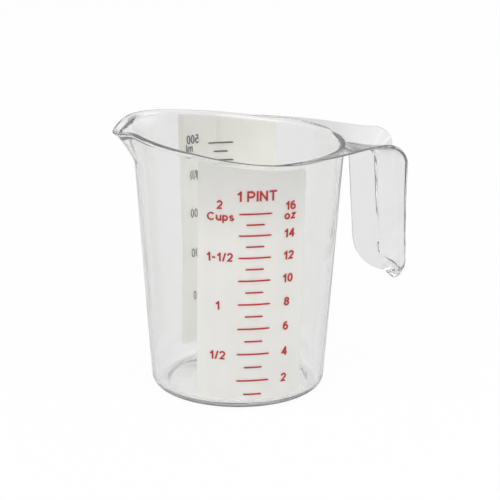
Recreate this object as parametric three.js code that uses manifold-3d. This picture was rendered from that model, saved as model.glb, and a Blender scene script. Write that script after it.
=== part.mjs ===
// A clear one-pint measuring cup, moulded in one piece, with a printed scale on either side.
// Millimetres, +Z up. The origin is on the cup's axis, on the plane that it stands on.
// The spout points along -X, the handle along +X, and the front scale faces -Y.
import * as THREE from 'three';
import { mergeVertices } from 'three/addons/utils/BufferGeometryUtils.js';
import Module from 'manifold-3d';

// Cup wall, floor and foot ring
const baseRadius = 39.3; // outer wall, carried down to the table
const rimRadius = 47.6; // outer wall at the level part of the rim
const rimHeight = 114; // level part of the rim, on the handle's side
const wallThickness = 2.5;
const floorThickness = 2;
const baseCorner = 4.5; // outer rounding between wall and foot
const floorCorner = 3; // inner rounding between wall and floor
const footRingWidth = 1.8;
const recessDepth = 0.6; // shallow recess inside the foot ring
const recessSlope = 3; // width of its sloping edge

// Lip around the rim
const lipOverhang = 0.4;
const lipHeight = 1.5;
const lipRounding = 0.6;
const lipInnerRounding = 0.6 * wallThickness;
const lipBlend = 0.6; // height of the slope under the lip

// Spout: the rim climbs towards it, the wall flares, and a beak stands out of the flare
const spoutRise = 9.6;
const riseStart = 26.7; // from the handle's side of the lip to where the rim starts to climb
const riseShape = 1.45;
const flareReach = 4;
const flareHalfAngle = THREE.MathUtils.degToRad(58);
const flareDepth = 15;
const flareShape = 1.35;
const beakReach = 4.4;
const beakDip = 3.4;
const beakHalfAngle = THREE.MathUtils.degToRad(26);

// Handle: a sheet folded along its middle, off the rim and down, with a thin web in the fold
const handleReach = 76.6; // from the axis to the back's edges, near the tip
const backLean = 2.6; // at the bend they stand this much closer
const handleLength = 66; // from the level rim down to the tip
const bridgeRise = 0.6; // the sheet's edges climb from the lip to this far above the level rim
const bridgeHalfWidth = 18.4; // at the bend
const bridgeRootAngle = THREE.MathUtils.degToRad(80); // where the bridge leaves the rim
const rootInset = 0.7; // the bridge starts this far inside the lip's edge
const rootDrop = 0.6; // and below its top
const bridgePull = 0.66; // how far it follows the rim's direction, as a share of its run
const neckPull = 0.225; // the same at the bend
const neckFlare = 0.19; // slope of its edges there
const bendRadius = 9; // of the edges
const foldRadius = 4; // of the fold
const sheetThickness = 2.3; // at the fold
const edgeThickness = 1.2; // also of the bridge where it leaves the rim
const edgeWidth = 2;
const foldDepthRoot = 0.4; // depth of the fold's valley at the rim
const foldDepthBend = 3.6;
const foldDeepening = 4; // the higher, the later the valley deepens on its way to the bend
const foldReachBend = 61.4; // from the axis to the underside of the fold, below the bend
const foldReachTip = 62.8;
const foldTipRun = 5.6; // how far the tip's rounding carries the fold outward
const tipHalfWidth = 6.8;
const tipDrop = 10; // height of the tip's rounding
const tipRun = 5.2; // its depth
const tipShrink = 0.35; // share of its width that the rounding takes off
const tipFloor = 5.5; // plastic under the valley's lower end
const taperShape = 1.65;
const webThickness = 2.4;
const webClearance = 2.7; // from the wall to the web, at the top
const webLean = 0.065; // outward lean of the web's free edge
const webCorner = 18; // height of the rounding at the web's lower corner
const webFootRise = 2.3; // the web's lower edge above the tip, at the fold
const webFootSlope = 2.5; // how much higher it runs at its free end

// Printed scales: a pale backing film, and marks on it
const filmThickness = 0.3;
const filmGap = 0.3;
const filmHalfWidth = 24.4; // along the wall, the same from top to foot
const filmTopMargin = 0.2; // below the lip
const filmFoot = 5.2; // above the table
const backFilmFoot = 7;
const markHeight = 0.65;
const shortMark = 0.56; // share of the length, on every other mark

// Each scale: volume between marks in cubic millimetres, how far it is printed off the reckoned
// level and off the film's middle, and the length of its long marks
const ounceScale = {
  count: 16, volume: 29574, shift: -1.5, skew: THREE.MathUtils.degToRad(1.2), length: 14.4,
};
const millilitreScale = {
  count: 20, volume: 25000, shift: 2, skew: THREE.MathUtils.degToRad(2.8), length: 12.2,
};

// Smoothness of the meshes
const wallStep = THREE.MathUtils.degToRad(5);
const spoutStep = THREE.MathUtils.degToRad(2.5);
const spoutMargin = 1.25; // the closer steps reach this many times the beak's half angle
const flareSteps = 4;
const cornerSteps = 4;
const lipSteps = 2;
const bridgeSteps = 9;
const bendSteps = 5;
const backSteps = 8;
const tipSteps = 6;
const filmSteps = 16;
const markSteps = 4;
const curvePoints = 12;

const wasm = await Module();
wasm.setup();

const clearPlastic = new THREE.MeshStandardMaterial({
  color: 0xe9edec, roughness: 0.06, metalness: 0, transparent: true, opacity: 0.35,
});
const backingInk = new THREE.MeshStandardMaterial({ color: 0xdcdcd6, roughness: 0.55, metalness: 0 });
const redInk = new THREE.MeshStandardMaterial({ color: 0xb42a30, roughness: 0.5, metalness: 0 });
const greyInk = new THREE.MeshStandardMaterial({ color: 0x5a5d5e, roughness: 0.5, metalness: 0 });

// Solids and booleans

function solidOf(geometry) {
  const bare = geometry.index ? geometry.toNonIndexed() : geometry.clone();
  bare.deleteAttribute('normal');
  bare.deleteAttribute('uv');
  const merged = mergeVertices(bare, 1e-4);
  return new wasm.Manifold(new wasm.Mesh({
    numProp: 3,
    vertProperties: new Float32Array(merged.attributes.position.array),
    triVerts: new Uint32Array(merged.index.array),
  }));
}

function geometryOf(solid) {
  const mesh = solid.getMesh();
  const geometry = new THREE.BufferGeometry();
  geometry.setAttribute('position', new THREE.BufferAttribute(mesh.vertProperties, 3));
  geometry.setIndex(new THREE.BufferAttribute(mesh.triVerts, 1));
  geometry.computeVertexNormals();
  return geometry;
}

// An outline in two of the three axes, carried along the third from one place to another.
function prism(shape, plane, from, to) {
  const geometry = new THREE.ExtrudeGeometry(shape, {
    depth: to - from, bevelEnabled: false, curveSegments: curvePoints,
  });
  geometry.translate(0, 0, from);
  if (plane === 'xz') {
    geometry.rotateX(Math.PI / 2);
    geometry.translate(0, from + to, 0);
  }
  if (plane === 'yz') {
    geometry.applyMatrix4(new THREE.Matrix4().makeBasis(
      new THREE.Vector3(0, 1, 0), new THREE.Vector3(0, 0, 1), new THREE.Vector3(1, 0, 0)));
  }
  return solidOf(geometry);
}

// A closed body of rings of points: each ring is a list of [x, y, z], all of one length.
function ringBody(rings, startPole, endPole) {
  const count = rings[0].length;
  const positions = rings.flat(2).concat(startPole, endPole);
  const startIndex = rings.length * count;
  const triangles = [];
  for (let j = 0; j < count; j += 1) {
    const next = (j + 1) % count;
    triangles.push(startIndex, next, j);
    for (let i = 0; i + 1 < rings.length; i += 1) {
      const low = i * count;
      const high = low + count;
      triangles.push(low + j, low + next, high + next, low + j, high + next, high + j);
    }
    const last = (rings.length - 1) * count;
    triangles.push(last + j, last + next, startIndex + 1);
  }
  const geometry = new THREE.BufferGeometry();
  geometry.setAttribute('position', new THREE.Float32BufferAttribute(positions, 3));
  geometry.setIndex(triangles);
  geometry.computeVertexNormals();
  return geometry;
}

// Shape of the cup: wall taper, rim and spout as functions of height and direction

const taper = (rimRadius - baseRadius) / rimHeight;
const floorHeight = recessDepth + floorThickness;
const innerShift = wallThickness * Math.hypot(1, taper); // wall thickness measured level
const lipRadius = rimRadius + lipOverhang;
const outerRadius = (z) => baseRadius + taper * z;
const innerRadius = (z) => outerRadius(z) - innerShift;

// Angle away from the spout's direction, 0 to pi.
const offSpout = (angle) => Math.abs(Math.atan2(Math.sin(angle - Math.PI), Math.cos(angle - Math.PI)));

function beakShare(angle) {
  const share = Math.min(offSpout(angle) / beakHalfAngle, 1);
  return Math.cos(share * Math.PI / 2) ** 4;
}

function spoutFlare(angle) {
  const share = Math.min(offSpout(angle) / flareHalfAngle, 1);
  return flareReach * (1 - share ** 2) + beakReach * beakShare(angle);
}

function rimAt(angle) {
  const x = lipRadius * Math.cos(angle);
  const start = lipRadius - riseStart;
  const climb = Math.max(0, start - x) / (start + lipRadius);
  return rimHeight + spoutRise * climb ** riseShape - beakDip * beakShare(angle);
}

function wallRadius(angle, z) {
  const flared = Math.max(0, 1 - (rimAt(angle) - z) / flareDepth);
  return outerRadius(z) + spoutFlare(angle) * flared ** flareShape;
}

// Directions around the axis, closer together across the spout.
function directions() {
  const list = [];
  const spoutSide = Math.PI - beakHalfAngle * spoutMargin;
  const wide = Math.round(2 * spoutSide / wallStep);
  for (let i = 0; i < wide; i += 1) list.push(-spoutSide + (2 * spoutSide * i) / wide);
  const fine = Math.round(2 * (Math.PI - spoutSide) / spoutStep);
  for (let i = 0; i < fine; i += 1) list.push(spoutSide + (2 * (Math.PI - spoutSide) * i) / fine);
  return list;
}

// The cup without its handle: rings from under the floor, up the outside and down the inside.
function cupShell() {
  const angles = directions();
  const rings = [];
  const ring = (place) => rings.push(angles.map((angle) => {
    const [radius, z] = place(angle);
    return [radius * Math.cos(angle), radius * Math.sin(angle), z];
  }));

  const footOuter = outerRadius(baseCorner) - baseCorner;
  const recessOuter = footOuter - footRingWidth;
  ring(() => [recessOuter - recessSlope, recessDepth]);
  ring(() => [recessOuter, 0]);
  for (let i = 0; i <= cornerSteps; i += 1) {
    const turn = (i / cornerSteps) * Math.PI / 2;
    ring(() => [footOuter + baseCorner * Math.sin(turn), baseCorner * (1 - Math.cos(turn))]);
  }

  const lipFoot = lipHeight + lipBlend;
  const flareLevels = [];
  for (let i = 0; i <= flareSteps; i += 1) {
    flareLevels.push(flareDepth + (lipFoot - flareDepth) * (i / flareSteps));
  }
  flareLevels.forEach((depth) => ring((angle) => {
    const z = rimAt(angle) - depth;
    return [wallRadius(angle, z), z];
  }));
  ring((angle) => [wallRadius(angle, rimAt(angle) - lipHeight) + lipOverhang, rimAt(angle) - lipHeight]);
  const rounded = (radius, step) => {
    const turn = (step / lipSteps) * Math.PI / 2;
    return [radius * (1 - Math.cos(turn)), radius * (1 - Math.sin(turn))];
  };
  for (let i = 0; i <= lipSteps; i += 1) {
    const [inset, drop] = rounded(lipRounding, i);
    ring((angle) => [wallRadius(angle, rimAt(angle)) + lipOverhang - inset, rimAt(angle) - drop]);
  }
  for (let i = lipSteps; i >= 0; i -= 1) {
    const [inset, drop] = rounded(lipInnerRounding, i);
    ring((angle) => [wallRadius(angle, rimAt(angle)) - innerShift + inset, rimAt(angle) - drop]);
  }
  flareLevels.reverse().forEach((depth) => ring((angle) => {
    const z = rimAt(angle) - depth;
    return [wallRadius(angle, z) - innerShift, z];
  }));

  const floorOuter = innerRadius(floorHeight + floorCorner) - floorCorner;
  for (let i = cornerSteps; i >= 0; i -= 1) {
    const turn = (i / cornerSteps) * Math.PI / 2;
    const rise = floorCorner * (1 - Math.cos(turn));
    ring(() => [floorOuter + floorCorner * Math.sin(turn), floorHeight + rise]);
  }
  return ringBody(rings, [0, 0, recessDepth], [0, 0, floorHeight]);
}

// Handle: sections across the sheet, from the rim over the bend down to the tip

const edgeTop = rimHeight + bridgeRise;
const tipHeight = rimHeight - handleLength;
const bendEnd = handleReach - backLean;
const bendStart = bendEnd - bendRadius;
const bendFoot = edgeTop - bendRadius;
const foldTop = edgeTop - foldDepthBend - sheetThickness;
const foldFoot = foldTop - foldRadius;
const foldBendStart = foldReachBend - foldRadius;
const tipStart = tipHeight + tipDrop;
const valleyReach = sheetThickness; // the valley is cut to this far past the edges
const mix = (from, to, share) => from + (to - from) * share;

// Each section has the place of its edges [x, z], half its width, its thickness, and the place of
// the fold on the underside.
function handleSections() {
  const outward = new THREE.Vector2(Math.cos(bridgeRootAngle), Math.sin(bridgeRootAngle));
  const along = new THREE.Vector2(outward.y, -outward.x);
  const root = outward.multiplyScalar(lipRadius - rootInset);
  const span = bendStart - root.x;
  const side = new THREE.CubicBezierCurve(
    root,
    root.clone().addScaledVector(along, span * bridgePull),
    new THREE.Vector2(bendStart - span * neckPull, bridgeHalfWidth + span * neckPull * neckFlare),
    new THREE.Vector2(bendStart, bridgeHalfWidth),
  );
  const sections = [];
  for (let i = 0; i < bridgeSteps; i += 1) {
    const { x, y } = side.getPoint(i / bridgeSteps);
    const run = (x - root.x) / span;
    const top = mix(rimAt(bridgeRootAngle) - rootDrop, edgeTop, run);
    const thickness = mix(edgeThickness, sheetThickness, run);
    const depth = mix(foldDepthRoot, foldDepthBend, run ** foldDeepening) + thickness;
    const fold = [mix(root.x, foldBendStart, run), top - depth];
    sections.push({ edge: [x, top], half: y, thickness, fold });
  }
  for (let i = 0; i < bendSteps; i += 1) {
    const turn = (1 - i / bendSteps) * Math.PI / 2;
    sections.push({
      edge: [bendStart + bendRadius * Math.cos(turn), bendFoot + bendRadius * Math.sin(turn)],
      half: bridgeHalfWidth,
      thickness: sheetThickness,
      fold: [foldBendStart + foldRadius * Math.cos(turn), foldFoot + foldRadius * Math.sin(turn)],
    });
  }
  for (let i = 0; i < backSteps; i += 1) {
    const run = i / backSteps;
    sections.push({
      edge: [mix(bendEnd, handleReach, run), mix(bendFoot, tipStart, run)],
      half: mix(tipHalfWidth, bridgeHalfWidth, (1 - run) ** taperShape),
      thickness: sheetThickness,
      fold: [mix(foldReachBend, foldReachTip, run), mix(foldFoot, tipStart, run)],
    });
  }
  for (let i = 0; i <= tipSteps; i += 1) {
    const turn = (i / tipSteps) * Math.PI / 2;
    const inward = 1 - Math.cos(turn);
    const down = Math.sin(turn);
    sections.push({
      edge: [handleReach - tipRun * inward, tipStart - tipDrop * down],
      half: tipHalfWidth * (1 - tipShrink * inward),
      thickness: sheetThickness,
      fold: [foldReachTip + foldTipRun * inward, mix(tipStart, tipHeight + webFootRise, i / tipSteps)],
    });
  }
  return sections;
}

// A closed body of five-sided sections: the fold, then two corners at the edge on either side.
// Its measures count from the section's underside at the fold, and from its top at the edges.
function foldedBody(sections, measures) {
  const rings = sections.map((section) => {
    const { edge, fold } = section;
    const { lift, half, low, high } = measures(section);
    const across = new THREE.Vector2(edge[0] - fold[0], edge[1] - fold[1]).normalize();
    const at = (place, out, y) => [place[0] + across.x * out, y, place[1] + across.y * out];
    const right = [at(edge, low, half), at(edge, high, half)];
    const left = [at(edge, high, -half), at(edge, low, -half)];
    return [at(fold, lift, 0), ...right, ...left];
  });
  const mean = (ring, axis) => ring.reduce((sum, point) => sum + point[axis], 0) / ring.length;
  const middle = (ring) => [mean(ring, 0), mean(ring, 1), mean(ring, 2)];
  return solidOf(ringBody(rings, middle(rings[0]), middle(rings[rings.length - 1])));
}

function foldedSheet() {
  const sections = handleSections();
  const valley = sections.filter(({ edge }) => edge[1] > tipStart - tipFloor);
  const outside = foldedBody(sections, ({ half }) => ({
    lift: 0, half, low: -edgeThickness, high: 0,
  }));
  const inside = foldedBody(valley, ({ half, thickness }) => ({
    lift: thickness, half: half - edgeWidth, low: 0, high: valleyReach,
  }));
  return outside.subtract(inside);
}

// Web in the fold, seen from the side: a straight free edge and a rounded lower corner.
function webPlan() {
  const top = foldTop + sheetThickness / 2;
  const topX = outerRadius(top) + webClearance;
  const freeEdge = (z) => topX + webLean * (top - z);
  const footHeight = tipHeight + webFootRise;
  const cornerTop = footHeight + webCorner;
  const hidden = sheetThickness / 2; // the web's far edge lies this deep in the sheet
  const shape = new THREE.Shape();
  shape.moveTo(freeEdge(top), top);
  shape.lineTo(freeEdge(cornerTop), cornerTop);
  shape.quadraticCurveTo(freeEdge(footHeight), footHeight + webFootSlope,
    foldReachTip + foldTipRun, footHeight);
  shape.lineTo(foldReachTip + hidden, tipStart);
  shape.lineTo(foldReachBend + hidden, foldFoot);
  shape.lineTo(foldBendStart, top);
  return prism(shape, 'xz', -webThickness / 2, webThickness / 2);
}

// Space inside the cup, carried up past the rim, which trims the handle's root.
function cupSpace() {
  const top = rimHeight + spoutRise;
  const profile = [
    new THREE.Vector2(0, floorHeight),
    new THREE.Vector2(innerRadius(floorHeight) + wallThickness / 2, floorHeight),
    new THREE.Vector2(innerRadius(top) + wallThickness / 2, top),
    new THREE.Vector2(0, top),
  ];
  const geometry = new THREE.LatheGeometry(profile, Math.round(2 * Math.PI / wallStep));
  geometry.rotateX(Math.PI / 2);
  return solidOf(geometry);
}

function cupBody() {
  const handle = foldedSheet().add(webPlan()).subtract(cupSpace());
  return geometryOf(solidOf(cupShell()).add(handle));
}

// Prints: thin bodies that follow the wall

// A patch of film of even width between two heights, standing off the wall by a gap.
function filmPatch(middle, halfWidth, low, high, gap, steps) {
  const ring = (height, out) => {
    const points = [];
    for (let i = 0; i <= steps; i += 1) {
      const across = halfWidth * (2 * i / steps - 1);
      const z = height(middle + across / rimRadius);
      const angle = middle + across / outerRadius(z);
      const radius = wallRadius(angle, z) + out;
      points.push([radius * Math.cos(angle), radius * Math.sin(angle), z]);
    }
    return points;
  };
  const far = gap + filmThickness;
  const loop = [ring(low, gap), ring(low, far), ring(high, far), ring(high, gap)];
  const count = steps + 1;
  const positions = loop.flat(2);
  const triangles = [];
  for (let k = 0; k < 4; k += 1) {
    const from = k * count;
    const to = ((k + 1) % 4) * count;
    for (let i = 0; i < steps; i += 1) {
      triangles.push(from + i, from + i + 1, to + i + 1, from + i, to + i + 1, to + i);
    }
  }
  triangles.push(0, count, 2 * count, 0, 2 * count, 3 * count);
  const end = steps;
  triangles.push(end, 2 * count + end, count + end, end, 3 * count + end, 2 * count + end);
  const geometry = new THREE.BufferGeometry();
  geometry.setAttribute('position', new THREE.Float32BufferAttribute(positions, 3));
  geometry.setIndex(triangles);
  geometry.computeVertexNormals();
  return geometry;
}

// Height that a volume reaches in the tapered cup, from the level floor.
function levelOf(volume) {
  const start = innerRadius(floorHeight);
  const reached = Math.cbrt(3 * taper * volume / Math.PI + start ** 3);
  return floorHeight + (reached - start) / taper;
}

const cup = new THREE.Group();

function addPiece(name, geometry, material) {
  const mesh = new THREE.Mesh(geometry, material);
  mesh.name = name;
  cup.add(mesh);
}

const front = -Math.PI / 2;
const back = Math.PI / 2;
const markGap = filmGap + filmThickness + filmGap;
const filmTop = (angle) => rimAt(angle) - lipHeight - lipBlend - filmTopMargin;

function addFilm(name, middle, foot) {
  addPiece(name, filmPatch(middle, filmHalfWidth, () => foot, filmTop, filmGap, filmSteps), backingInk);
}

function addMarks(label, middle, scale, ink) {
  for (let i = 1; i <= scale.count; i += 1) {
    const z = levelOf(i * scale.volume) + scale.shift;
    const length = scale.length * (i % 2 ? shortMark : 1);
    const low = () => z - markHeight / 2;
    const high = () => z + markHeight / 2;
    const patch = filmPatch(middle, length / 2, low, high, markGap, markSteps);
    addPiece(`${label}_${String(i).padStart(2, '0')}`, patch, ink);
  }
}

addPiece('cup_body', cupBody(), clearPlastic);
addFilm('front_scale_film', front, filmFoot);
addFilm('back_scale_film', back, backFilmFoot);
addMarks('ounce_mark', front + ounceScale.skew, ounceScale, redInk);
addMarks('millilitre_mark', back + millilitreScale.skew, millilitreScale, greyInk);

export default cup;
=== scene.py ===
# A clear one-pint measuring cup with a printed scale on either side.
# Lengths are millimetres, as on its drawing, and solid() turns them into metres.
# The spout points along -X, the handle along +X, and the ounce scale faces -Y.
import math

import bpy
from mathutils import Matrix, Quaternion, Vector
from mathutils.geometry import interpolate_bezier


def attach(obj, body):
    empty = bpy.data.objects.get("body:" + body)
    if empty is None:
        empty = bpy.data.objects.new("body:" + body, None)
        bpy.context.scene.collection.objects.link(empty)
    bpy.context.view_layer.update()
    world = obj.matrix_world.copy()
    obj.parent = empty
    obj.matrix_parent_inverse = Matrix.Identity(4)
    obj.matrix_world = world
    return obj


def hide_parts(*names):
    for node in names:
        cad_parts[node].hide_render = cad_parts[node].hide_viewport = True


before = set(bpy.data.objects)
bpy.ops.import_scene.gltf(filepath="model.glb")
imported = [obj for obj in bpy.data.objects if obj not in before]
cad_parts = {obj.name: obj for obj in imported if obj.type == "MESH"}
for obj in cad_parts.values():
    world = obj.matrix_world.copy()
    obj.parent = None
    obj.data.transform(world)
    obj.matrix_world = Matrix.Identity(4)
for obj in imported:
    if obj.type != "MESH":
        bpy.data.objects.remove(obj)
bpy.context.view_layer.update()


# Cup moulding
# One injection moulding in clear polycarbonate: a tapered wall and floor on a foot ring, a lip that
# climbs into the spout, and a handle folded like a gutter with a web in its fold.
# It is polished in the mould, so it is glossy all over apart from the foot ring, which is scuffed.
MILLIMETRE = 0.001
BASE_RADIUS = 39.3
RIM_RADIUS = 47.6
RIM_HEIGHT = 114
WALL = 2.5
FLOOR_THICKNESS = 2
BASE_CORNER = 4.5
FLOOR_CORNER = 3
FOOT_RING_WIDTH = 1.8
RECESS_DEPTH = 0.6
RECESS_SLOPE = 3
LIP_OVERHANG = 0.4
LIP_HEIGHT = 1.5
LIP_ROUNDING = 0.6
LIP_INNER_ROUNDING = 1.5
LIP_BLEND = 0.6
SPOUT_RISE = 9.6
RISE_START = 26.7
RISE_SHAPE = 1.45
FLARE_REACH = 4
FLARE_HALF_ANGLE = math.radians(58)
FLARE_DEPTH = 15
FLARE_SHAPE = 1.35
BEAK_REACH = 4.4
BEAK_DIP = 3.4
BEAK_HALF_ANGLE = math.radians(26)
DIRECTIONS = 288
CORNER_STEPS = 10
FLARE_STEPS = 14
ROUNDING_STEPS = 5

taper = (RIM_RADIUS - BASE_RADIUS) / RIM_HEIGHT
floor_height = RECESS_DEPTH + FLOOR_THICKNESS
inner_shift = WALL * math.hypot(1, taper)
lip_radius = RIM_RADIUS + LIP_OVERHANG
directions = [2 * math.pi * i / DIRECTIONS for i in range(DIRECTIONS)]


def mix(start, end, share):
    return start + (end - start) * share


def eased(share):
    share = min(max(share, 0), 1)
    return share * share * (3 - 2 * share)


def outer_radius(z):
    return BASE_RADIUS + taper * z


def inner_radius(z):
    return outer_radius(z) - inner_shift


def off_spout(angle):
    return abs(math.remainder(angle - math.pi, 2 * math.pi))


def beak_share(angle):
    return math.cos(min(off_spout(angle) / BEAK_HALF_ANGLE, 1) * math.pi / 2) ** 4


def spout_flare(angle):
    share = min(off_spout(angle) / FLARE_HALF_ANGLE, 1)
    return FLARE_REACH * (1 - share ** 2) + BEAK_REACH * beak_share(angle)


def rim_at(angle):
    start = lip_radius - RISE_START
    climb = max(0, start - lip_radius * math.cos(angle)) / (start + lip_radius)
    return RIM_HEIGHT + SPOUT_RISE * climb ** RISE_SHAPE - BEAK_DIP * beak_share(angle)


def wall_radius(angle, z):
    flared = max(0, 1 - (rim_at(angle) - z) / FLARE_DEPTH)
    return outer_radius(z) + spout_flare(angle) * flared ** FLARE_SHAPE


def polar(radius, angle, z):
    return radius * math.cos(angle), radius * math.sin(angle), z


def solid(name, points, faces):
    mesh = bpy.data.meshes.new(name)
    mesh.from_pydata([Vector(point) * MILLIMETRE for point in points], [], faces)
    mesh.update()
    piece = bpy.data.objects.new(name, mesh)
    bpy.context.scene.collection.objects.link(piece)
    return piece


def ring_body(name, rings, start, end):
    """A closed body of rings of points, with a point that closes either end."""
    count = len(rings[0])
    points = [point for ring in rings for point in ring] + [start, end]
    start_pole, end_pole = len(points) - 2, len(points) - 1
    last = start_pole - count
    faces = []
    for j in range(count):
        k = (j + 1) % count
        faces.append((start_pole, k, j))
        for low in range(0, last, count):
            faces.append((low + j, low + k, low + count + k, low + count + j))
        faces.append((last + j, last + k, end_pole))
    return solid(name, points, faces)


def middle_of(ring):
    return sum((Vector(point) for point in ring), Vector()) / len(ring)


def cup_profile(angle):
    """Radius and height of each ring at one direction: up the outside, over the lip, down the inside."""
    rim = rim_at(angle)
    foot_outer = outer_radius(BASE_CORNER) - BASE_CORNER
    recess_outer = foot_outer - FOOT_RING_WIDTH
    profile = []
    for i in range(ROUNDING_STEPS + 1):
        share = i / ROUNDING_STEPS
        profile.append((recess_outer - RECESS_SLOPE * (1 - share), RECESS_DEPTH * (1 - eased(share))))
    for i in range(CORNER_STEPS + 1):
        turn = i / CORNER_STEPS * math.pi / 2
        profile.append((foot_outer + BASE_CORNER * math.sin(turn), BASE_CORNER * (1 - math.cos(turn))))

    lip_foot = LIP_HEIGHT + LIP_BLEND
    levels = [rim - mix(FLARE_DEPTH, lip_foot, i / FLARE_STEPS) for i in range(FLARE_STEPS + 1)]
    profile += [(wall_radius(angle, z), z) for z in levels]
    for i in range(1, ROUNDING_STEPS + 1):
        share = i / ROUNDING_STEPS
        z = rim - lip_foot + LIP_BLEND * share
        profile.append((wall_radius(angle, z) + LIP_OVERHANG * eased(share), z))
    lip_outer = wall_radius(angle, rim) + LIP_OVERHANG
    lip_inner = wall_radius(angle, rim) - inner_shift
    for i in range(ROUNDING_STEPS + 1):
        turn = i / ROUNDING_STEPS * math.pi / 2
        inset = LIP_ROUNDING * (1 - math.cos(turn))
        profile.append((lip_outer - inset, rim - LIP_ROUNDING * (1 - math.sin(turn))))
    for i in range(ROUNDING_STEPS, -1, -1):
        turn = i / ROUNDING_STEPS * math.pi / 2
        inset = LIP_INNER_ROUNDING * (1 - math.cos(turn))
        profile.append((lip_inner + inset, rim - LIP_INNER_ROUNDING * (1 - math.sin(turn))))
    profile += [(wall_radius(angle, z) - inner_shift, z) for z in reversed(levels)]

    floor_outer = inner_radius(floor_height + FLOOR_CORNER) - FLOOR_CORNER
    for i in range(CORNER_STEPS, -1, -1):
        turn = i / CORNER_STEPS * math.pi / 2
        rise = FLOOR_CORNER * (1 - math.cos(turn))
        profile.append((floor_outer + FLOOR_CORNER * math.sin(turn), floor_height + rise))
    return profile


def cup_shell():
    columns = [[polar(radius, angle, z) for radius, z in cup_profile(angle)] for angle in directions]
    return ring_body("cup_body", list(zip(*columns)), (0, 0, RECESS_DEPTH), (0, 0, floor_height))


HANDLE_REACH = 76.6
BACK_LEAN = 2.6
HANDLE_LENGTH = 66
BRIDGE_RISE = 0.6
BRIDGE_HALF_WIDTH = 18.4
ROOT_INSET = 0.7
ROOT_DROP = 0.15
EDGE_SHEET = 1.2
BRIDGE_ROOT_ANGLE = math.radians(80)
BRIDGE_PULL = 0.66
NECK_PULL = 0.225
NECK_FLARE = 0.19
BEND_RADIUS = 9
FOLD_RADIUS = 4
SHEET = 2.3
EDGE_WIDTH = 2
FOLD_DEPTH_ROOT = 0.1
FOLD_DEPTH_BEND = 3.6
FOLD_DEEPENING = 4
FOLD_THICKENING = 8
FOLD_REACH_BEND = 61.4
FOLD_REACH_TIP = 62.8
FOLD_TIP_RUN = 5.6
TIP_HALF_WIDTH = 6.8
TIP_DROP = 10
TIP_RUN = 5.2
TIP_SHRINK = 0.35
TAPER_SHAPE = 1.65
SCOOP_START = 0.93  # share of the back where the valley starts to run out
SCOOP_END = math.radians(70)  # turn of the tip where it is gone
WEB = 2.4
WEB_CLEARANCE = 2.7
WEB_LEAN = 0.065
WEB_CORNER = 18
WEB_FOOT_RISE = 2.3
WEB_FOOT_SLOPE = 2.5
WEB_ROUNDING = 0.9
BRIDGE_STEPS = 44
BEND_STEPS = 14
BACK_STEPS = 40
TIP_STEPS = 12
WEB_CORNER_STEPS = 24
FOLD_SETBACK = 0.6  # how far the rounding of the fold reaches along either side
EDGE_SETBACK = 0.95

edge_top = RIM_HEIGHT + BRIDGE_RISE
tip_height = RIM_HEIGHT - HANDLE_LENGTH
bend_end = HANDLE_REACH - BACK_LEAN
bend_start = bend_end - BEND_RADIUS
bend_foot = edge_top - BEND_RADIUS
fold_top = edge_top - FOLD_DEPTH_BEND - SHEET
fold_foot = fold_top - FOLD_RADIUS
fold_bend_start = FOLD_REACH_BEND - FOLD_RADIUS
tip_start = tip_height + TIP_DROP
web_foot = tip_height + WEB_FOOT_RISE


def handle_sections():
    """Edge and fold of the sheet [x, z], half width, thickness and how far the valley is filled."""
    outward = Vector((math.cos(BRIDGE_ROOT_ANGLE), math.sin(BRIDGE_ROOT_ANGLE)))
    along = Vector((outward.y, -outward.x))
    root = outward * (lip_radius - ROOT_INSET)
    span = bend_start - root.x
    neck = Vector((bend_start - span * NECK_PULL, BRIDGE_HALF_WIDTH + span * NECK_PULL * NECK_FLARE))
    end = Vector((bend_start, BRIDGE_HALF_WIDTH))
    side = interpolate_bezier(root, root + along * span * BRIDGE_PULL, neck, end, BRIDGE_STEPS + 1)
    sections = []
    for x, half in side[:-1]:
        run = (x - root.x) / span
        top = mix(rim_at(BRIDGE_ROOT_ANGLE) - ROOT_DROP, edge_top, run)
        thickness = mix(EDGE_SHEET, SHEET, run ** FOLD_THICKENING)
        depth = mix(FOLD_DEPTH_ROOT, FOLD_DEPTH_BEND, run ** FOLD_DEEPENING) + thickness
        sections.append(((x, top), (mix(root.x, fold_bend_start, run), top - depth), half, thickness, 0))
    for i in range(BEND_STEPS):
        turn = (1 - i / BEND_STEPS) * math.pi / 2
        edge = bend_start + BEND_RADIUS * math.cos(turn), bend_foot + BEND_RADIUS * math.sin(turn)
        fold = fold_bend_start + FOLD_RADIUS * math.cos(turn), fold_foot + FOLD_RADIUS * math.sin(turn)
        sections.append((edge, fold, BRIDGE_HALF_WIDTH, SHEET, 0))
    scoop_length = (1 - SCOOP_START) * BACK_STEPS + SCOOP_END / (math.pi / 2) * TIP_STEPS
    for i in range(BACK_STEPS):
        run = i / BACK_STEPS
        edge = mix(bend_end, HANDLE_REACH, run), mix(bend_foot, tip_start, run)
        fold = mix(FOLD_REACH_BEND, FOLD_REACH_TIP, run), mix(fold_foot, tip_start, run)
        half = mix(TIP_HALF_WIDTH, BRIDGE_HALF_WIDTH, (1 - run) ** TAPER_SHAPE)
        filled = eased((i - SCOOP_START * BACK_STEPS) / scoop_length)
        sections.append((edge, fold, half, SHEET, filled))
    for i in range(TIP_STEPS + 1):
        turn = i / TIP_STEPS * math.pi / 2
        inward = 1 - math.cos(turn)
        edge = HANDLE_REACH - TIP_RUN * inward, tip_start - TIP_DROP * math.sin(turn)
        fold = FOLD_REACH_TIP + FOLD_TIP_RUN * inward, mix(tip_start, web_foot, i / TIP_STEPS)
        filled = eased((i + (1 - SCOOP_START) * BACK_STEPS) / scoop_length)
        sections.append((edge, fold, TIP_HALF_WIDTH * (1 - TIP_SHRINK * inward), SHEET, filled))
    return sections


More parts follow.
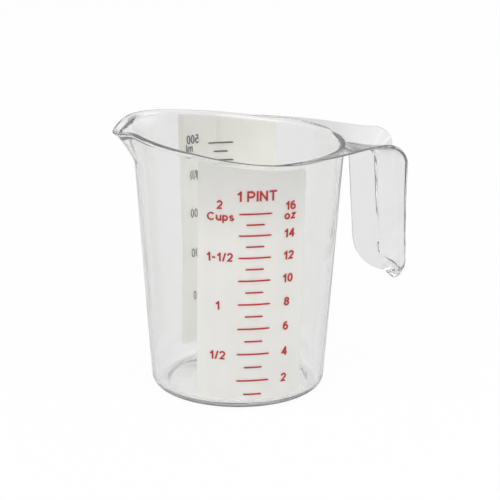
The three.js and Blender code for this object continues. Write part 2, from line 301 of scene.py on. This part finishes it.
def rounded(corners):
    """A closed outline with each corner (across, along, setback) rounded off."""
    outline = []
    for i, (u, v, setback) in enumerate(corners):
        corner = Vector((u, v))
        ends = []
        for other in (corners[i - 1], corners[(i + 1) % len(corners)]):
            side = Vector(other[:2]) - corner
            ends.append(corner + side.normalized() * min(setback, 0.45 * side.length))
        for k in range(ROUNDING_STEPS + 1):
            share = k / ROUNDING_STEPS
            outline.append(ends[0].lerp(corner, share).lerp(corner.lerp(ends[1], share), share))
    return outline


def folded_sheet():
    rings = []
    for edge, fold, half, thickness, filled in handle_sections():
        across = Vector((edge[0] - fold[0], edge[1] - fold[1]))
        deep = across.length
        across.normalize()
        valley = mix(thickness, deep, filled)
        inner = half - EDGE_WIDTH
        corners = [
            (0, 0, FOLD_SETBACK), (half, deep - EDGE_SHEET, EDGE_SETBACK), (half, deep, EDGE_SETBACK),
            (inner, deep, EDGE_SETBACK), (0, valley, FOLD_SETBACK), (-inner, deep, EDGE_SETBACK),
            (-half, deep, EDGE_SETBACK), (-half, deep - EDGE_SHEET, EDGE_SETBACK),
        ]
        rings.append([(fold[0] + across.x * v, u, fold[1] + across.y * v) for u, v in rounded(corners)])
    return ring_body("folded_sheet", rings, middle_of(rings[0]), middle_of(rings[-1]))


def web_plate():
    """The web in the fold: a plate with a straight free edge and a lower corner, both rounded off."""
    hidden = 0.9 * SHEET
    top = fold_top + SHEET / 2
    corner_top = web_foot + WEB_CORNER
    tip_reach = FOLD_REACH_TIP + FOLD_TIP_RUN

    def free_edge(z):
        return outer_radius(top) + WEB_CLEARANCE + WEB_LEAN * (top - z)

    start = Vector((free_edge(corner_top), corner_top))
    pull = Vector((free_edge(web_foot), web_foot + WEB_FOOT_SLOPE))
    end = Vector((tip_reach + hidden, web_foot))
    shown = [Vector((free_edge(top), top))]
    for i in range(WEB_CORNER_STEPS + 1):
        share = i / WEB_CORNER_STEPS
        shown.append(start.lerp(pull, share).lerp(pull.lerp(end, share), share))
    inward = []
    for before, after in zip(shown[:1] + shown[:-1], shown[1:] + shown[-1:]):
        along = (after - before).normalized()
        inward.append(Vector((-along.y, along.x)))
    buried = [
        Vector((tip_reach + hidden / 2, mix(web_foot, tip_start, 0.5))),
        Vector((FOLD_REACH_TIP + hidden, tip_start)),
        Vector((FOLD_REACH_BEND + hidden, fold_foot)),
        Vector((fold_bend_start, top)),
    ]
    rounding = []
    for i in range(ROUNDING_STEPS + 1):
        turn = i / ROUNDING_STEPS * math.pi / 2
        half = WEB / 2 - WEB_ROUNDING * (1 - math.cos(turn))
        rounding.append((half, WEB_ROUNDING * (1 - math.sin(turn))))
    layers = [(-y, inset) for y, inset in rounding] + rounding[::-1]
    points = []
    for y, inset in layers:
        outline = [place + way * inset for place, way in zip(shown, inward)] + buried
        points += [(x, y, z) for x, z in outline]
    count = len(shown) + len(buried)
    last = len(points) - count
    faces = [tuple(range(count)), tuple(reversed(range(last, last + count)))]
    for low in range(0, last, count):
        faces += [(low + i, low + count + i, low + count + (i + 1) % count, low + (i + 1) % count)
                  for i in range(count)]
    return solid("web_plate", points, faces)


def cup_space():
    """The space inside the cup, carried past the rim, which trims the handle's root."""
    top = RIM_HEIGHT + SPOUT_RISE
    rings = [[polar(inner_radius(z) + WALL / 2, angle, z) for angle in directions]
             for z in (floor_height, top)]
    return ring_body("cup_space", rings, (0, 0, floor_height), (0, 0, top))


def combine(body, tool, operation):
    step = body.modifiers.new(operation, "BOOLEAN")
    step.operation = operation
    step.solver = "EXACT"
    step.object = tool
    made = bpy.data.meshes.new_from_object(body.evaluated_get(bpy.context.evaluated_depsgraph_get()))
    body.modifiers.clear()
    body.data = made
    bpy.data.objects.remove(tool)
    return body


SHARP_EDGE = math.radians(38)


def smooth(piece, sharp=SHARP_EDGE):
    piece.data.shade_smooth()
    piece.data.set_sharp_from_angle(angle=sharp)


def pass_light(material, share):
    """Let lamps shine through, dimmed to a share at each face."""
    nodes, links = material.node_tree.nodes, material.node_tree.links
    path = nodes.new("ShaderNodeLightPath")
    passed = nodes.new("ShaderNodeBsdfTransparent")
    passed.inputs["Color"].default_value = (share, share, share, 1)
    either = nodes.new("ShaderNodeMixShader")
    links.new(path.outputs["Is Shadow Ray"], either.inputs["Fac"])
    links.new(nodes["Principled BSDF"].outputs["BSDF"], either.inputs[1])
    links.new(passed.outputs["BSDF"], either.inputs[2])
    links.new(either.outputs["Shader"], nodes["Material Output"].inputs["Surface"])


def clear_plastic():
    material = bpy.data.materials.new("clear_plastic")
    material.use_nodes = True
    nodes, links = material.node_tree.nodes, material.node_tree.links
    surface = nodes["Principled BSDF"]
    surface.inputs["Base Color"].default_value = (0.98, 0.982, 0.98, 1)
    surface.inputs["Transmission Weight"].default_value = 0.95
    surface.inputs["IOR"].default_value = 1.52
    place = nodes.new("ShaderNodeTexCoord")

    # Flow lines of the moulding run up the wall, as a ripple too shallow to see but in reflections
    stretch = nodes.new("ShaderNodeMapping")
    stretch.inputs["Scale"].default_value = (110, 110, 9)
    ripple = nodes.new("ShaderNodeTexNoise")
    ripple.inputs["Scale"].default_value = 1
    ripple.inputs["Detail"].default_value = 1
    bump = nodes.new("ShaderNodeBump")
    bump.inputs["Strength"].default_value = 0.25
    bump.inputs["Distance"].default_value = 0.0004
    links.new(place.outputs["Object"], stretch.inputs["Vector"])
    links.new(stretch.outputs["Vector"], ripple.inputs["Vector"])
    links.new(ripple.outputs["Fac"], bump.inputs["Height"])
    links.new(bump.outputs["Normal"], surface.inputs["Normal"])

    # Fine handling haze all over, and a scuffed foot ring
    haze = nodes.new("ShaderNodeTexNoise")
    haze.inputs["Scale"].default_value = 220
    haze.inputs["Detail"].default_value = 4
    polish = nodes.new("ShaderNodeMapRange")
    polish.inputs["From Min"].default_value = 0.45
    polish.inputs["From Max"].default_value = 0.75
    polish.inputs["To Min"].default_value = 0.008
    polish.inputs["To Max"].default_value = 0.05
    height = nodes.new("ShaderNodeSeparateXYZ")
    scuff = nodes.new("ShaderNodeMapRange")
    scuff.inputs["From Min"].default_value = 0.0006
    scuff.inputs["From Max"].default_value = 0
    scuff.inputs["To Min"].default_value = 0
    scuff.inputs["To Max"].default_value = 0.3
    roughness = nodes.new("ShaderNodeMath")
    roughness.operation = "ADD"
    links.new(place.outputs["Object"], haze.inputs["Vector"])
    links.new(haze.outputs["Fac"], polish.inputs["Value"])
    links.new(place.outputs["Object"], height.inputs["Vector"])
    links.new(height.outputs["Z"], scuff.inputs["Value"])
    links.new(polish.outputs["Result"], roughness.inputs[0])
    links.new(scuff.outputs["Result"], roughness.inputs[1])
    links.new(roughness.outputs["Value"], surface.inputs["Roughness"])

    pass_light(material, 0.96)
    return material


def finish_piece(piece, material, node=None):
    piece.data.materials.clear()
    piece.data.materials.append(material)
    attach(piece, "root")
    if node:
        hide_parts(node)


handle = combine(folded_sheet(), web_plate(), "UNION")
handle = combine(handle, cup_space(), "DIFFERENCE")
cup = combine(cup_shell(), handle, "UNION")
smooth(cup)
finish_piece(cup, clear_plastic(), "cup_body")


# Backing films
# A coat of milky ink, screen printed on the outside of the wall at the front and at the back, so that
# the scales stand out. It lets light through but hides what lies far behind it, and its coat is uneven.
FILM_GAP = 0.3
FILM_THICKNESS = 0.3
FILM_TOP_MARGIN = 0.2
FILM_CORNER = 1.2
FILM_HALF_WIDTH = 24.4
FILM_STEPS = 96
TOP_DARKENING_START = 80
front = -math.pi / 2
back = math.pi / 2


def print_grain_group():
    """Cloudy tone, streaks up the wall and fine screen grain of a printed coat, and a tone that grows
    darker towards the top.
    """
    group = bpy.data.node_groups.new("print_grain", "ShaderNodeTree")
    sockets = group.interface
    sockets.new_socket("Colour", in_out="INPUT", socket_type="NodeSocketColor")
    for name in ("Cloud", "Streak", "Fade", "Roughness"):
        sockets.new_socket(name, in_out="INPUT", socket_type="NodeSocketFloat")
    sockets.new_socket("Colour", in_out="OUTPUT", socket_type="NodeSocketColor")
    sockets.new_socket("Roughness", in_out="OUTPUT", socket_type="NodeSocketFloat")
    sockets.new_socket("Height", in_out="OUTPUT", socket_type="NodeSocketFloat")
    nodes, links = group.nodes, group.links
    given = nodes.new("NodeGroupInput")
    made = nodes.new("NodeGroupOutput")
    place = nodes.new("ShaderNodeTexCoord")

    def noise(scale, detail, vector):
        texture = nodes.new("ShaderNodeTexNoise")
        texture.inputs["Scale"].default_value = scale
        texture.inputs["Detail"].default_value = detail
        links.new(vector, texture.inputs["Vector"])
        return texture.outputs["Fac"]

    def reckon(operation, *values):
        step = nodes.new("ShaderNodeMath")
        step.operation = operation
        for socket, value in zip(step.inputs, values):
            if isinstance(value, (int, float)):
                socket.default_value = value
            else:
                links.new(value, socket)
        return step.outputs["Value"]

    stretch = nodes.new("ShaderNodeMapping")
    stretch.inputs["Scale"].default_value = (1, 1, 0.04)
    links.new(place.outputs["Object"], stretch.inputs["Vector"])
    cloud = noise(60, 3, place.outputs["Object"])
    streak = noise(160, 2, stretch.outputs["Vector"])
    grain = noise(2600, 2, place.outputs["Object"])
    cloudy = reckon("MULTIPLY", reckon("SUBTRACT", cloud, 0.5), given.outputs["Cloud"])
    streaky = reckon("MULTIPLY", reckon("SUBTRACT", streak, 0.5), given.outputs["Streak"])
    height = nodes.new("ShaderNodeSeparateXYZ")
    links.new(place.outputs["Object"], height.inputs["Vector"])
    # The tone grows darker from a set height up to the rim.
    upper = nodes.new("ShaderNodeMapRange")
    upper.inputs["From Min"].default_value = TOP_DARKENING_START * MILLIMETRE
    upper.inputs["From Max"].default_value = RIM_HEIGHT * MILLIMETRE
    links.new(height.outputs["Z"], upper.inputs["Value"])
    darkened_top = reckon("MULTIPLY", upper.outputs["Result"], given.outputs["Fade"])
    varied = reckon("SUBTRACT", reckon("ADD", cloudy, streaky), darkened_top)
    tone = nodes.new("ShaderNodeHueSaturation")
    links.new(reckon("ADD", varied, 1), tone.inputs["Value"])
    links.new(given.outputs["Colour"], tone.inputs["Color"])
    links.new(tone.outputs["Color"], made.inputs["Colour"])
    rougher = reckon("MULTIPLY", reckon("SUBTRACT", grain, 0.5), 0.3)
    links.new(reckon("ADD", given.outputs["Roughness"], rougher), made.inputs["Roughness"])
    links.new(grain, made.inputs["Height"])
    return group


print_grain = print_grain_group()


def printed_ink(name, colour, cloud, streak, roughness, grain_height):
    material = bpy.data.materials.new(name)
    material.use_nodes = True
    nodes, links = material.node_tree.nodes, material.node_tree.links
    surface = nodes["Principled BSDF"]
    grain = nodes.new("ShaderNodeGroup")
    grain.name = "print_grain"
    grain.node_tree = print_grain
    grain.inputs["Colour"].default_value = (*colour, 1)
    grain.inputs["Cloud"].default_value = cloud
    grain.inputs["Streak"].default_value = streak
    grain.inputs["Roughness"].default_value = roughness
    bump = nodes.new("ShaderNodeBump")
    bump.inputs["Strength"].default_value = 0.3
    bump.inputs["Distance"].default_value = grain_height
    links.new(grain.outputs["Colour"], surface.inputs["Base Color"])
    links.new(grain.outputs["Roughness"], surface.inputs["Roughness"])
    links.new(grain.outputs["Height"], bump.inputs["Height"])
    links.new(bump.outputs["Normal"], surface.inputs["Normal"])
    return material


def wrapped(middle, across, z, out):
    angle = middle + across / outer_radius(z)
    return polar(wall_radius(angle, z) + out, angle, z)


def wrapped_band(name, middle, half_width, steps, low, high, inner, outer):
    """A closed band on the wall between two heights, which follow the distance from its middle."""
    rings = []
    for i in range(steps + 1):
        across = half_width * (2 * i / steps - 1)
        corners = [(low(across), inner), (low(across), outer), (high(across), outer), (high(across), inner)]
        rings.append([wrapped(middle, across, z, out) for z, out in corners])
    return ring_body(name, rings, middle_of(rings[0]), middle_of(rings[-1]))


def film(name, middle, foot):
    def corner(across):
        short = max(0, FILM_CORNER - FILM_HALF_WIDTH + abs(across))
        return FILM_CORNER - math.sqrt(FILM_CORNER ** 2 - short ** 2)

    def low(across):
        return foot + corner(across)

    def high(across):
        rim = rim_at(middle + across / RIM_RADIUS)
        return rim - LIP_HEIGHT - LIP_BLEND - FILM_TOP_MARGIN - corner(across)

    piece = wrapped_band(name, middle, FILM_HALF_WIDTH, FILM_STEPS, low, high,
                         FILM_GAP, FILM_GAP + FILM_THICKNESS)
    smooth(piece)
    return piece


def milky_ink(name, colour):
    material = printed_ink(name, colour, 0.05, 0.06, 0.6, 0.00002)
    nodes = material.node_tree.nodes
    nodes["print_grain"].inputs["Fade"].default_value = 0.14
    nodes["Principled BSDF"].inputs["Transmission Weight"].default_value = 0.45
    nodes["Principled BSDF"].inputs["IOR"].default_value = 1.2
    pass_light(material, 0.85)
    return material


# Both films are the same milky ink, yet the back one is painted paler than the front. This is painted light
# that makes up for the light its inner face, seen from inside the cup, does not get. The front one, lit
# straight on, is painted darker to match.
for node, middle, foot, colour in (
    ("front_scale_film", front, 5.2, (0.83, 0.826, 0.803)),
    ("back_scale_film", back, 7, (0.96, 0.949, 0.892)),
):
    finish_piece(film(node + "_print", middle, foot), milky_ink(node + "_ink", colour), node)


# Ounce scale
# Red ink printed over the front film: sixteen lines, one per fluid ounce, every other one long, with
# ounces on their right and cups on their left. The ink lies on the film as a thin raised coat.
OUNCE = 29574
MARK_HEIGHT = 0.65
SHORT_MARK = 0.56
OUNCE_SKEW = math.radians(1.2)
MARK_STEPS = 20
MARK_END = 0.3
OUNCE_SHIFT = -1.5
OUNCE_LENGTH = 14.4
LETTER_GAP = 0.11
ARC_STEP = 15
MITRE_LIMIT = 0.5
INK_FOOT = FILM_GAP + FILM_THICKNESS
INK_TOP = 0.95
WORD_TOP = 0.85
red_ink = printed_ink("red_ink", (0.42, 0.017, 0.017), 0.35, 0.1, 0.4, 0.00003)


def level_of(volume):
    start = inner_radius(floor_height)
    return floor_height + (math.cbrt(3 * taper * volume / math.pi + start ** 3) - start) / taper


def printed_mark(name, middle, z, length, inner, outer):
    def half_height(across):
        short = max(0, MARK_END - length / 2 + abs(across)) / MARK_END
        return MARK_HEIGHT / 2 * math.sqrt(max(1 - short ** 2, 0.2))

    return wrapped_band(name, middle, length / 2, MARK_STEPS, lambda across: z - half_height(across),
                        lambda across: z + half_height(across), inner, outer)


def arc(x, y, reach, rise, start, end):
    """Points on part of an oval about a centre, between two angles in degrees."""
    count = max(2, round(abs(end - start) / ARC_STEP))
    turns = [math.radians(mix(start, end, i / count)) for i in range(count + 1)]
    return [(x + reach * math.cos(turn), y + rise * math.sin(turn)) for turn in turns]


def oval(x, y, reach, rise):
    return arc(x, y, reach, rise, 0, 360)


# Each sign: its width as a share of the capitals' height, and the middle lines of its strokes, in
# shares of the box that is left when half a stroke is taken off all round.
SIGNS = {
    "0": (0.64, [oval(0.5, 0.5, 0.5, 0.5)]),
    "1": (0.5, [[(0.85, -0.1), (0.85, 1.1)], arc(-0.05, 1.1, 0.86, 0.36, -90, -12)]),
    "2": (0.64, [arc(0.5, 0.7, 0.5, 0.3, 170, -30) + [(0.02, 0), (1, 0)]]),
    "3": (0.64, [arc(0.48, 0.75, 0.46, 0.25, 160, -90) + arc(0.48, 0.27, 0.52, 0.27, 75, -160)]),
    "4": (0.68, [[(0.72, -0.1), (0.72, 1.1)], [(0.66, 1), (0, 0.28), (1.1, 0.28)]]),
    "5": (0.64, [[(0.92, 1), (0.2, 1), (0.08, 0.48)] + arc(0.48, 0.31, 0.52, 0.31, 125, -155)]),
    "6": (0.64, [oval(0.5, 0.31, 0.5, 0.31), arc(0.54, 0.5, 0.54, 0.5, 60, 200)]),
    "8": (0.64, [oval(0.5, 0.27, 0.5, 0.27), oval(0.5, 0.77, 0.43, 0.23)]),
    "-": (0.42, [[(-0.2, 0.42), (1.2, 0.42)]]),
    "/": (0.4, [[(-0.1, -0.08), (1.1, 1.08)]]),
    "P": (0.74, [[(0, -0.1), (0, 1), (0.55, 1)] + arc(0.55, 0.7, 0.45, 0.3, 90, -90) + [(0, 0.4)]]),
    "I": (0.17, [[(0.5, -0.1), (0.5, 1.1)]]),
    "N": (0.76, [[(0, -0.1), (0, 1.1)], [(0, 1), (1, 0)], [(1, -0.1), (1, 1.1)]]),
    "T": (0.75, [[(-0.1, 1), (1.1, 1)], [(0.5, -0.1), (0.5, 1)]]),
    "C": (0.92, [arc(0.52, 0.5, 0.52, 0.5, 42, 318)]),
    "u": (0.62, [[(0, 0.74), (0, 0.3)] + arc(0.5, 0.3, 0.5, 0.3, 180, 360) + [(1, 0.3)],
                 [(1, 0.74), (1, -0.1)]]),
    "p": (0.66, [[(0, 0.74), (0, -0.42)], oval(0.5, 0.32, 0.5, 0.32)]),
    "s": (0.58, [arc(0.5, 0.49, 0.44, 0.16, 30, 250) + arc(0.5, 0.16, 0.5, 0.16, 75, -150)]),
    "o": (0.66, [oval(0.5, 0.32, 0.5, 0.32)]),
    "z": (0.58, [[(0, 0.64), (1, 0.64), (0, 0), (1, 0)]]),
    "m": (1, [[(0, 0.74), (0, -0.1)], arc(0.25, 0.42, 0.25, 0.24, 180, 0) + [(0.5, -0.1)],
              arc(0.75, 0.42, 0.25, 0.24, 180, 0) + [(1, -0.1)]]),
    "l": (0.17, [[(0.5, -0.1), (0.5, 1.1)]]),
    " ": (0.2, []),
}


def stroke_sides(line, half):
    """The left and right side of a stroke along a middle line, mitred at its corners."""
    points = [Vector(point) for point in line]
    closed = (points[0] - points[-1]).length < 1e-6
    if closed:
        points = points[:-1]
    count = len(points)
    sides = []
    for i, point in enumerate(points):
        before = points[i - 1] if i or closed else None
        after = points[(i + 1) % count] if i + 1 < count or closed else None
        ways = [(point - before).normalized()] if before else []
        ways += [(after - point).normalized()] if after else []
        way = (ways[0] + ways[-1]).normalized()
        offset = Vector((-way.y, way.x)) * (half / max(way.dot(ways[0]), MITRE_LIMIT))
        sides.append((point + offset, point - offset))
    return sides, closed


def printed_word(name, words, cap, middle, z, inner, outer, pen=0.175, narrow=1):
    """Words drawn with a pen of even width and wrapped onto the wall about a direction and a height."""
    pen *= cap
    gap = LETTER_GAP * cap * narrow
    widths = [SIGNS[sign][0] * cap * narrow for sign in words]
    left = -(sum(widths) + gap * (len(words) - 1)) / 2
    points, faces = [], []
    for sign, width in zip(words, widths):
        for line in SIGNS[sign][1]:
            placed = [(left + mix(pen / 2, width - pen / 2, u), mix(pen / 2, cap - pen / 2, v))
                      for u, v in line]
            sides, closed = stroke_sides(placed, pen / 2)
            first = len(points)
            for pair in sides:
                for side, out in ((0, inner), (1, inner), (1, outer), (0, outer)):
                    across, rise = pair[side]
                    points.append(wrapped(middle, across, z + rise - cap / 2, out))
            count = len(sides)
            for i in range(count if closed else count - 1):
                near, far = first + 4 * i, first + 4 * ((i + 1) % count)
                faces += [(near + k, near + (k + 1) % 4, far + (k + 1) % 4, far + k) for k in range(4)]
            if not closed:
                last = first + 4 * (count - 1)
                faces += [(first + 3, first + 2, first + 1, first), (last, last + 1, last + 2, last + 3)]
        left += width + gap
    return solid(name, points, faces)


def ounce_level(ounces):
    return level_of(ounces * OUNCE) + OUNCE_SHIFT


for ounces in range(1, 17):
    length = OUNCE_LENGTH * (1 if ounces % 2 == 0 else SHORT_MARK)
    node = f"ounce_mark_{ounces:02d}"
    mark = printed_mark(node + "_print", front + OUNCE_SKEW, ounce_level(ounces), length, INK_FOOT, INK_TOP)
    finish_piece(mark, red_ink, node)

FIGURE_CAP = 4.05
# Name, words, height of capitals, degrees right of the front's middle, mark and rise above that mark
ounce_words = [
    ("pint_word", "1 PINT", 4.8, 1.8, 16, 8.2),
    ("cups_figure_2", "2", FIGURE_CAP, -18.1, 16, 4.3),
    ("cups_word", "Cups", 3.8, -17.7, 16, -1.2),
    ("cups_figure_1_half", "1-1/2", FIGURE_CAP, -18.5, 12, 0.4),
    ("cups_figure_1", "1", FIGURE_CAP, -20, 8, -0.5),
    ("cups_figure_half", "1/2", FIGURE_CAP, -20.6, 4, -0.5),
    ("ounce_figure_16", "16", FIGURE_CAP, 20.8, 16, 2.7),
    ("ounce_word", "oz", 4.1, 20.8, 16, -1.6),
]
for ounces in range(2, 15, 2):
    name = f"ounce_figure_{ounces:02d}"
    ounce_words.append((name, str(ounces), FIGURE_CAP, 21.9 - 0.07 * ounces, ounces, 0))
for name, words, cap, turn, ounces, rise in ounce_words:
    word = printed_word(name, words, cap, front + math.radians(turn), ounce_level(ounces) + rise,
                        INK_FOOT, WORD_TOP)
    finish_piece(word, red_ink)


# Millilitre scale
# Grey ink on the back: twenty lines, one per 25 ml, every other one long, with figures each 100 ml.
# It is printed through the film, so it shows from the inside too, where it reads backwards.
MILLILITRE_STEP = 25000
MILLILITRE_SHIFT = 2
MILLILITRE_LENGTH = 12.2
MILLILITRE_COLUMN = back + math.radians(20)
MILLILITRE_SKEW = math.radians(2.8)
THROUGH_FILM = 0.1
FIGURE_RISE = 2.6
grey_ink = printed_ink("grey_ink", (0.03, 0.032, 0.035), 0.35, 0.1, 0.45, 0.00003)


def millilitre_level(step):
    return level_of(step * MILLILITRE_STEP) + MILLILITRE_SHIFT


for step in range(1, 21):
    length = MILLILITRE_LENGTH * (1 if step % 2 == 0 else SHORT_MARK)
    node = f"millilitre_mark_{step:02d}"
    mark = printed_mark(node + "_print", back + MILLILITRE_SKEW, millilitre_level(step), length,
                        THROUGH_FILM, INK_TOP)
    finish_piece(mark, grey_ink, node)

for step in range(4, 21, 4):
    amount = step * 25
    figure = printed_word(f"millilitre_figure_{amount}", str(amount), 4.2, MILLILITRE_COLUMN,
                          millilitre_level(step) + FIGURE_RISE, THROUGH_FILM, WORD_TOP, 0.12, 0.72)
    finish_piece(figure, grey_ink)
unit = printed_word("millilitre_word", "ml", 3.4, MILLILITRE_COLUMN + math.radians(2.4),
                    millilitre_level(20) - 1.4, THROUGH_FILM, WORD_TOP, 0.13, 0.8)
finish_piece(unit, grey_ink)


# Studio
# A plain pale floor in a white room, lit by two large soft boxes, one high at the front left and a weaker
# one on the right. The camera stands a metre away and a little above the rim.
STAGE_REACH = 6000
STAGE_GLOW = 0.92
GLASS_BACKDROP = 0.75
AMBIENT = 0.76
BAND = ((0.08, 0.9), (0.18, 0.48), (0.36, 0.48), (0.55, 0.92))


def ray_kinds(tree):
    """Whether a ray comes from the camera, and whether it comes off or through glass."""
    nodes, links = tree.nodes, tree.links
    path = nodes.new("ShaderNodeLightPath")
    glass = nodes.new("ShaderNodeMath")
    glass.operation = "MAXIMUM"
    links.new(path.outputs["Is Glossy Ray"], glass.inputs[0])
    links.new(path.outputs["Is Transmission Ray"], glass.inputs[1])
    return path.outputs["Is Camera Ray"], glass.outputs["Value"]


def studio_floor():
    """A matt floor that takes shadows, glows white to the camera and paler to glass; clear from below."""
    near, far = -STAGE_REACH, STAGE_REACH
    floor = solid("studio_floor", [(near, near, 0), (far, near, 0), (far, far, 0), (near, far, 0)],
                  [(0, 1, 2, 3)])
    material = bpy.data.materials.new("pale_floor")
    material.use_nodes = True
    tree = material.node_tree
    nodes, links = tree.nodes, tree.links
    nodes.remove(nodes["Principled BSDF"])
    matt = nodes.new("ShaderNodeBsdfDiffuse")
    matt.inputs["Color"].default_value = (0.86, 0.86, 0.855, 1)
    to_camera, to_glass = ray_kinds(tree)
    paler = nodes.new("ShaderNodeMath")
    paler.operation = "MULTIPLY"
    paler.inputs[1].default_value = GLASS_BACKDROP
    links.new(to_glass, paler.inputs[0])
    brightness = nodes.new("ShaderNodeMath")
    brightness.operation = "MAXIMUM"
    links.new(to_camera, brightness.inputs[0])
    links.new(paler.outputs["Value"], brightness.inputs[1])
    white = nodes.new("ShaderNodeEmission")
    links.new(brightness.outputs["Value"], white.inputs["Strength"])
    seen = nodes.new("ShaderNodeMath")
    seen.operation = "MAXIMUM"
    links.new(to_camera, seen.inputs[0])
    links.new(to_glass, seen.inputs[1])
    share = nodes.new("ShaderNodeMath")
    share.operation = "MULTIPLY"
    share.inputs[1].default_value = STAGE_GLOW
    links.new(seen.outputs["Value"], share.inputs[0])
    lit = nodes.new("ShaderNodeMixShader")
    links.new(share.outputs["Value"], lit.inputs["Fac"])
    links.new(matt.outputs["BSDF"], lit.inputs[1])
    links.new(white.outputs["Emission"], lit.inputs[2])
    side = nodes.new("ShaderNodeNewGeometry")
    clear = nodes.new("ShaderNodeBsdfTransparent")
    shown = nodes.new("ShaderNodeMixShader")
    links.new(side.outputs["Backfacing"], shown.inputs["Fac"])
    links.new(lit.outputs["Shader"], shown.inputs[1])
    links.new(clear.outputs["BSDF"], shown.inputs[2])
    links.new(shown.outputs["Shader"], nodes["Material Output"].inputs["Surface"])
    floor.data.materials.append(material)


def studio_room():
    """White to the camera, softly grey to matt surfaces, and with a dim band that glass edges pick up."""
    world = bpy.data.worlds.new("white_room")
    world.use_nodes = True
    tree = world.node_tree
    nodes, links = tree.nodes, tree.links
    direction = nodes.new("ShaderNodeTexCoord")
    height = nodes.new("ShaderNodeSeparateXYZ")
    links.new(direction.outputs["Generated"], height.inputs["Vector"])
    band = nodes.new("ShaderNodeValToRGB")
    stops = band.color_ramp.elements
    stops[0].position, stops[1].position = BAND[0][0], BAND[-1][0]
    for position, value in BAND[1:-1]:
        stops.new(position)
    for stop, (position, value) in zip(stops, BAND):
        stop.color = (value, value, value, 1)
    links.new(height.outputs["Z"], band.inputs["Fac"])
    to_camera, to_glass = ray_kinds(tree)
    soft = nodes.new("ShaderNodeMapRange")
    soft.inputs["To Min"].default_value = AMBIENT
    links.new(to_camera, soft.inputs["Value"])
    strength = nodes.new("ShaderNodeMix")
    links.new(to_glass, strength.inputs["Factor"])
    links.new(soft.outputs["Result"], strength.inputs["A"])
    links.new(band.outputs["Color"], strength.inputs["B"])
    links.new(strength.outputs["Result"], nodes["Background"].inputs["Strength"])
    nodes["Background"].inputs["Color"].default_value = (1, 1, 1, 1)
    bpy.context.scene.world = world


def soft_box(name, place, aim, width, height, power):
    lamp = bpy.data.lights.new(name, "AREA")
    lamp.shape = "RECTANGLE"
    lamp.size = width * MILLIMETRE
    lamp.size_y = height * MILLIMETRE
    lamp.energy = power
    holder = bpy.data.objects.new(name, lamp)
    holder.location = Vector(place) * MILLIMETRE
    holder.rotation_mode = "QUATERNION"
    holder.rotation_quaternion = (Vector(aim) - Vector(place)).to_track_quat("-Z", "Y")
    bpy.context.scene.collection.objects.link(holder)


studio_floor()
studio_room()
soft_box("key_box", (-500, -1200, 1300), (0, 0, 60), 2600, 2600, 20)
soft_box("fill_box", (1500, 250, 1000), (0, 0, 70), 1900, 1900, 7)

camera = bpy.data.cameras.new("camera")
camera.lens = 166
camera.sensor_width = 36
camera.clip_end = 100
stand = bpy.data.objects.new("camera", camera)
CAMERA_ROLL = math.radians(0.4)
eye = Vector((-139.6, -993.2, 376.3))
aim = Vector((5.4, 0.33, 62.4))
stand.location = eye * MILLIMETRE
stand.rotation_mode = "QUATERNION"
stand.rotation_quaternion = (aim - eye).to_track_quat("-Z", "Y") @ Quaternion((0, 0, 1), CAMERA_ROLL)
bpy.context.scene.collection.objects.link(stand)
bpy.context.scene.camera = stand
bpy.context.scene.view_settings.view_transform = "Standard"
